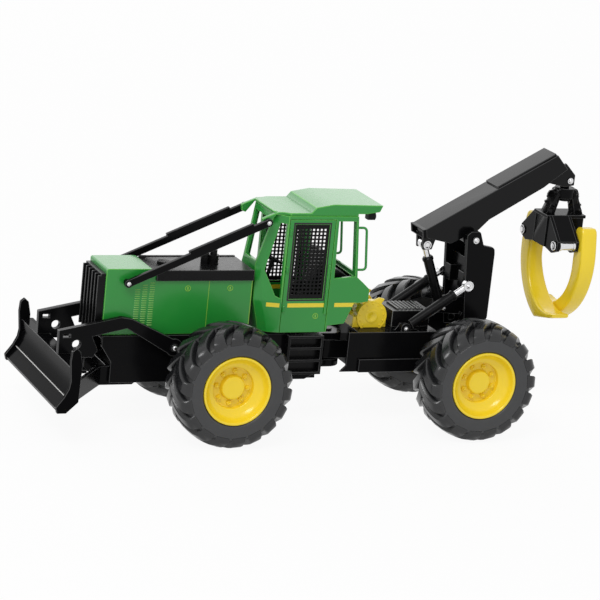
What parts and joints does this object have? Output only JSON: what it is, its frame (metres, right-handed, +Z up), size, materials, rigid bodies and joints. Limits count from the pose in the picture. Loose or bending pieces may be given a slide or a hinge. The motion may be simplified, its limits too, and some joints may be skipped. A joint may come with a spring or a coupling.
{
  "type": "toy grapple skidder",
  "caption": "1:32 toy of an articulated forestry tractor with a front blade, a cab, a winch and a rear arch and boom that carry a log grapple.",
  "frame": {"origin": "on the ground, under the middle of the toy's length and width", "axes": "+X forwards, +Y the machine's left, +Z up"},
  "size_m": [0.2776, 0.1, 0.1328],
  "materials": {
    "green_paint": "gloss",
    "black_paint": "satin",
    "black_plastic": "satin",
    "yellow_paint": "gloss",
    "bright_metal": "polished",
    "grey_plastic": "satin",
    "tyre_rubber": "matte",
    "pale_marking": "satin"
  },
  "bodies": {
    "front_chassis": {"front_frame": "black_paint", "front_axle": "black_paint", "hood": "green_paint", "grille": "black_plastic", "hood_top_panel": "black_plastic", "exhaust_stack": "black_plastic", "hood_rails": "black_plastic", "limb_riser_left": "black_paint", "limb_riser_right": "black_paint", "side_steps": "black_plastic", "cab_shell": "green_paint", "cab_roof": "green_paint", "cab_interior": "black_plastic", "steering_wheel": "black_plastic", "work_lamps": "black_plastic", "grab_handles": "green_paint"},
    "door_left": {"door_left": "green_paint", "door_guard_left": "black_plastic"},
    "door_right": {"door_right": "green_paint", "door_guard_right": "black_plastic"},
    "wheel_front_left": {"tyre_front_left": "tyre_rubber", "rim_front_left": "yellow_paint"},
    "wheel_front_right": {"tyre_front_right": "tyre_rubber", "rim_front_right": "yellow_paint"},
    "wheel_rear_left": {"tyre_rear_left": "tyre_rubber", "rim_rear_left": "yellow_paint"},
    "wheel_rear_right": {"tyre_rear_right": "tyre_rubber", "rim_rear_right": "yellow_paint"},
    "blade": {"blade": "black_paint", "blade_arms": "black_paint", "push_frame": "black_paint"},
    "rear_chassis": {"rear_frame": "black_paint", "rear_axle": "black_paint", "winch": "yellow_paint", "winch_tray": "grey_plastic"},
    "arch": {"arch": "black_paint"},
    "boom": {"boom": "black_paint"},
    "arch_cylinder_barrels": {"arch_cylinder_barrels": "black_plastic"},
    "arch_cylinder_rods": {"arch_cylinder_rods": "bright_metal"},
    "boom_cylinder_barrel": {"boom_cylinder_barrel": "black_plastic"},
    "boom_cylinder_rod": {"boom_cylinder_rod": "bright_metal"},
    "hanger": {"hanger": "black_paint"},
    "grapple": {"grapple_head": "black_paint"},
    "tong_left": {"tong_left": "yellow_paint"},
    "tong_right": {"tong_right": "yellow_paint"}
  },
  "joints": [
    {"name": "articulation", "type": "hinge", "parent": "front_chassis", "child": "rear_chassis", "pos_m": [-0.0082, 0, 0.035], "axis": [0, 0, 1], "range_deg": [-28, 28]},
    {"name": "wheel_front_left_spin", "type": "hinge", "parent": "front_chassis", "child": "wheel_front_left", "pos_m": [0.0548, 0.0375, 0.0288], "axis": [0, 1, 0], "continuous": true},
    {"name": "wheel_front_right_spin", "type": "hinge", "parent": "front_chassis", "child": "wheel_front_right", "pos_m": [0.0548, -0.0375, 0.0288], "axis": [0, 1, 0], "continuous": true},
    {"name": "wheel_rear_left_spin", "type": "hinge", "parent": "rear_chassis", "child": "wheel_rear_left", "pos_m": [-0.0712, 0.0375, 0.0288], "axis": [0, 1, 0], "continuous": true},
    {"name": "wheel_rear_right_spin", "type": "hinge", "parent": "rear_chassis", "child": "wheel_rear_right", "pos_m": [-0.0712, -0.0375, 0.0288], "axis": [0, 1, 0], "continuous": true},
    {"name": "blade_lift", "type": "hinge", "parent": "front_chassis", "child": "blade", "pos_m": [0.0756, 0, 0.0406], "axis": [0, -1, 0], "range_deg": [-15, 15]},
    {"name": "door_left_swing", "type": "hinge", "parent": "front_chassis", "child": "door_left", "pos_m": [0.02355, 0.0174, 0.074], "axis": [0, 0, -1], "range_deg": [0, 80]},
    {"name": "door_right_swing", "type": "hinge", "parent": "front_chassis", "child": "door_right", "pos_m": [0.02355, -0.0174, 0.074], "axis": [0, 0, 1], "range_deg": [0, 80]},
    {"name": "arch_tilt", "type": "hinge", "parent": "rear_chassis", "child": "arch", "pos_m": [-0.0792, 0, 0.046], "axis": [0, -1, 0], "range_deg": [-5, 30]},
    {"name": "boom_lift", "type": "hinge", "parent": "arch", "child": "boom", "pos_m": [-0.0759, 0, 0.0908], "axis": [0, 1, 0], "range_deg": [-30, 5]},
    {"name": "arch_cylinder_swing", "type": "hinge", "parent": "rear_chassis", "child": "arch_cylinder_barrels", "pos_m": [-0.0429, 0, 0.0476], "axis": [0, -1, 0], "range_deg": [-1.91, 8.97]},
    {"name": "arch_cylinder_slide", "type": "slide", "parent": "arch_cylinder_barrels", "child": "arch_cylinder_rods", "axis": [-0.8262, 0, 0.5633], "range_m": [-0.00202, 0.01061]},
    {"name": "boom_cylinder_swing", "type": "hinge", "parent": "arch", "child": "boom_cylinder_barrel", "pos_m": [-0.0672, 0, 0.0545], "axis": [0, 1, 0], "range_deg": [-6.42, 1.49]},
    {"name": "boom_cylinder_slide", "type": "slide", "parent": "boom_cylinder_barrel", "child": "boom_cylinder_rod", "axis": [0.3678, 0, 0.9299], "range_m": [-0.00205, 0.0108]},
    {"name": "grapple_swing", "type": "hinge", "parent": "boom", "child": "hanger", "pos_m": [-0.1277, 0, 0.1188], "axis": [0, -1, 0], "range_deg": [-45, 10]},
    {"name": "grapple_rotate", "type": "hinge", "parent": "hanger", "child": "grapple", "pos_m": [-0.1277, 0, 0.105], "axis": [0, 0, 1], "continuous": true},
    {"name": "tong_left_open", "type": "hinge", "parent": "grapple", "child": "tong_left", "pos_m": [-0.1338, 0.016, 0.089], "axis": [1, 0, 0], "range_deg": [0, 35]},
    {"name": "tong_right_open", "type": "hinge", "parent": "grapple", "child": "tong_right", "pos_m": [-0.1235, -0.016, 0.089], "axis": [-1, 0, 0], "range_deg": [0, 35]}
  ],
  "couplings": [
    {"joint": "arch_cylinder_swing", "follows": "arch_tilt", "ratio": 0.28239},
    {"joint": "arch_cylinder_slide", "follows": "arch_tilt", "m_per_rad": 0.019687},
    {"joint": "boom_cylinder_swing", "follows": "boom_lift", "ratio": 0.19728},
    {"joint": "boom_cylinder_slide", "follows": "boom_lift", "m_per_rad": -0.020052},
    {"joint": "tong_right_open", "follows": "tong_left_open", "ratio": 1}
  ]
}
